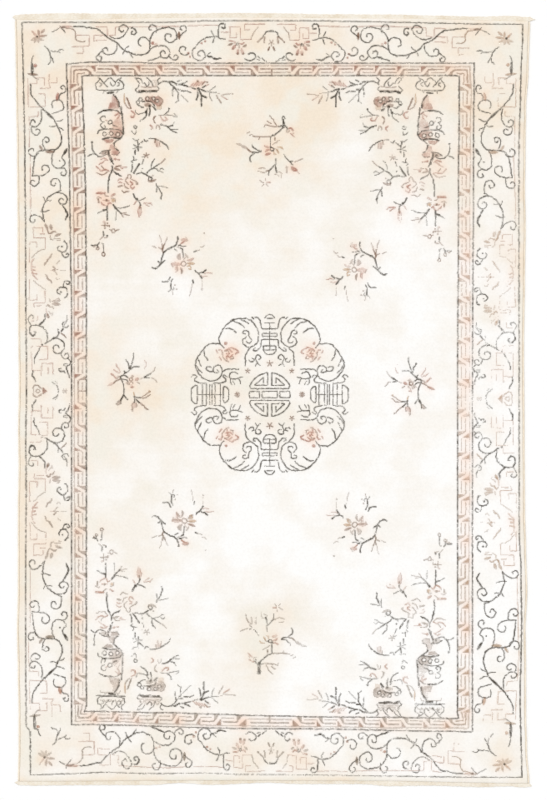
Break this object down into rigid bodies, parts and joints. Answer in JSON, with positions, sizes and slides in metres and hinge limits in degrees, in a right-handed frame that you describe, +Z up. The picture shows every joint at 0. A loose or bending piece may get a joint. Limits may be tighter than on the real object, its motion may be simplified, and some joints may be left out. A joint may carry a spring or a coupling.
{
  "type": "anatolian rug",
  "caption": "Large flat hand-knotted wool rug in cream, with a vine border, a fret band and a central medallion in charcoal, rose and tan.",
  "frame": {"origin": "middle of the bounding box, on the underside that lies on the floor", "axes": "+Z up out of the pile; +Y along the rug's length, towards the end at the top of the picture; +X across its width, to the right in the picture"},
  "size_m": [2.04, 3.0177, 0.0063],
  "materials": {
    "pile_wool": "matte, low worn wool pile",
    "selvedge_wool": "matte, overcast wool",
    "kilim_yarn": "matte, flat-woven"
  },
  "bodies": {
    "root": {"pile_carpet": "pile_wool", "selvedge_left": "selvedge_wool", "selvedge_right": "selvedge_wool", "kilim_top": "kilim_yarn", "kilim_bottom": "kilim_yarn"}
  },
  "joints": []
}
